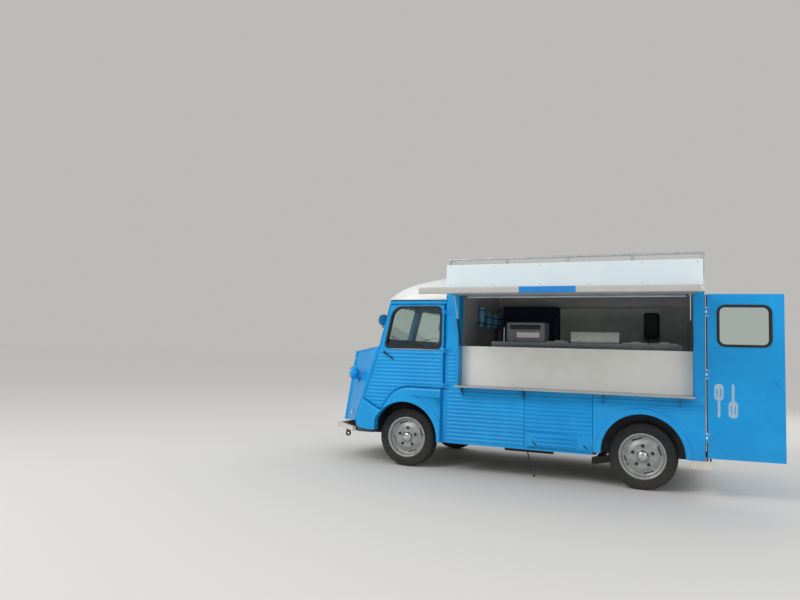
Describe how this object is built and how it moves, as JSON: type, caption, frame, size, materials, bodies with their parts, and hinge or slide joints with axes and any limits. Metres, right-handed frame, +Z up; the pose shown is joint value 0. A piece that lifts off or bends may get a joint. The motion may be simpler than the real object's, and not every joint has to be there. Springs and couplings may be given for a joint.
{
  "type": "ice cream truck",
  "caption": "Old corrugated sheet-metal box van with a blunt nose, fitted out to sell ice cream, its serving hatch and rear door open",
  "frame": {"origin": "on the ground, on the centreline, midway between the front and the rear axle", "axes": "+X forward, +Y to the left, the side with the serving hatch, +Z up"},
  "size_m": [4.7758, 3.0035, 2.318],
  "materials": {
    "body_blue": "semi-gloss",
    "wing_blue": "semi-gloss",
    "roof_white": "semi-gloss",
    "frame_white": "satin",
    "board_white": "satin",
    "chassis_black": "satin",
    "underbody_grey": "matt",
    "bare_steel": "satin",
    "shelf_aluminium": "satin",
    "chrome_trim": "polished",
    "tyre_black": "matt",
    "wheel_silver": "satin",
    "seat_vinyl": "satin",
    "cab_plastic": "matt",
    "unit_navy": "satin",
    "engine_iron": "rough",
    "clear_glass": "clear",
    "lamp_body": "polished",
    "lamp_red": "gloss",
    "mirror_face": "satin"
  },
  "bodies": {
    "body": {"back_units": "unit_navy", "body_posts": "body_blue", "bumpers": "roof_white", "cab_roof": "roof_white", "counter": "board_white", "engine_block": "engine_iron", "engine_cover": "cab_plastic", "exhaust": "bare_steel", "fittings": "bare_steel", "front_cradle": "chassis_black", "front_wings": "wing_blue", "fuel_tank": "chassis_black", "hatch_frame": "body_blue", "headlamps": "lamp_body", "load_roof": "roof_white", "mirrors": "mirror_face", "nose_front": "body_blue", "nose_sides": "body_blue", "partition": "frame_white", "platform": "underbody_grey", "prop_stay": "chassis_black", "rear_axle": "chassis_black", "rear_frame": "body_blue", "rear_wings": "wing_blue", "roof_rail": "bare_steel", "scuttle": "body_blue", "seats": "seat_vinyl", "shelf": "shelf_aluminium", "side_panels": "body_blue", "side_wall_right": "body_blue", "sign_board": "frame_white", "tail_lamps": "lamp_red", "wheelhouses": "underbody_grey", "windscreen": "clear_glass"},
    "bonnet": {"bonnet": "body_blue"},
    "cab_door_left": {"cab_door_left": "body_blue", "cab_glass_left": "clear_glass"},
    "cab_door_right": {"cab_door_right": "body_blue", "cab_glass_right": "clear_glass"},
    "rear_door": {"rear_door": "body_blue", "rear_door_glass": "clear_glass"},
    "hatch": {"hatch_flap": "roof_white"},
    "strut_tubes": {"strut_tubes": "chassis_black"},
    "strut_rods": {"strut_rods": "chrome_trim"},
    "steering_wheel": {"steering_wheel": "cab_plastic"},
    "knuckle_left": {"knuckle_left": "chassis_black"},
    "knuckle_right": {"knuckle_right": "chassis_black"},
    "wheel_front_left": {"tyre_front_left": "tyre_black", "rim_front_left": "wheel_silver"},
    "wheel_front_right": {"tyre_front_right": "tyre_black", "rim_front_right": "wheel_silver"},
    "wheel_rear_left": {"tyre_rear_left": "tyre_black", "rim_rear_left": "wheel_silver"},
    "wheel_rear_right": {"tyre_rear_right": "tyre_black", "rim_rear_right": "wheel_silver"}
  },
  "joints": [
    {"name": "steer_left", "type": "hinge", "parent": "body", "child": "knuckle_left", "pos_m": [1.25, 0.735, 0.325], "axis": [0, 0, 1], "range_deg": [-32, 32]},
    {"name": "steer_right", "type": "hinge", "parent": "body", "child": "knuckle_right", "pos_m": [1.25, -0.735, 0.325], "axis": [0, 0, 1], "range_deg": [-32, 32]},
    {"name": "steering_wheel_turn", "type": "hinge", "parent": "body", "child": "steering_wheel", "pos_m": [1.225, 0.38, 1.262], "axis": [-0.5501, 0, 0.8351], "range_deg": [-384, 384]},
    {"name": "wheel_front_left_spin", "type": "hinge", "parent": "knuckle_left", "child": "wheel_front_left", "pos_m": [1.25, 0.82, 0.325], "axis": [0, 1, 0], "continuous": true},
    {"name": "wheel_rear_left_spin", "type": "hinge", "parent": "body", "child": "wheel_rear_left", "pos_m": [-1.25, 0.82, 0.325], "axis": [0, 1, 0], "continuous": true},
    {"name": "wheel_front_right_spin", "type": "hinge", "parent": "knuckle_right", "child": "wheel_front_right", "pos_m": [1.25, -0.82, 0.325], "axis": [0, 1, 0], "continuous": true},
    {"name": "wheel_rear_right_spin", "type": "hinge", "parent": "body", "child": "wheel_rear_right", "pos_m": [-1.25, -0.82, 0.325], "axis": [0, 1, 0], "continuous": true},
    {"name": "cab_door_left_swing", "type": "hinge", "parent": "body", "child": "cab_door_left", "pos_m": [0.788, 1.009, 1.3], "axis": [0, 0, 1], "range_deg": [0, 75]},
    {"name": "cab_door_right_swing", "type": "hinge", "parent": "body", "child": "cab_door_right", "pos_m": [0.788, -1.009, 1.3], "axis": [0, 0, -1], "range_deg": [0, 75]},
    {"name": "rear_door_swing", "type": "hinge", "parent": "body", "child": "rear_door", "pos_m": [-1.841, 0.992, 1.1], "axis": [0, 0, 1], "range_deg": [-30, 84.7]},
    {"name": "bonnet_lift", "type": "hinge", "parent": "body", "child": "bonnet", "pos_m": [1.672, 0, 1.33299], "axis": [0, -1, 0], "range_deg": [0, 48]},
    {"name": "hatch_close", "type": "hinge", "parent": "body", "child": "hatch", "pos_m": [-0.535, 1.008, 1.927], "axis": [1, 0, 0], "range_deg": [-84.3, 0]},
    {"name": "strut_swing", "type": "hinge", "parent": "body", "child": "strut_tubes", "pos_m": [-0.535, 0.984, 1.372], "axis": [1, 0, 0], "range_deg": [0, 25.4]},
    {"name": "strut_slide", "type": "slide", "parent": "strut_tubes", "child": "strut_rods", "axis": [0, 0.4271, 0.9042], "range_m": [-0.229, 0]}
  ],
  "couplings": [
    {"joint": "steer_right", "follows": "steer_left", "ratio": 1},
    {"joint": "steering_wheel_turn", "follows": "steer_left", "ratio": 12},
    {"joint": "strut_swing", "follows": "hatch_close", "ratio": -0.2999},
    {"joint": "strut_slide", "follows": "hatch_close", "m_per_rad": 0.15511}
  ]
}
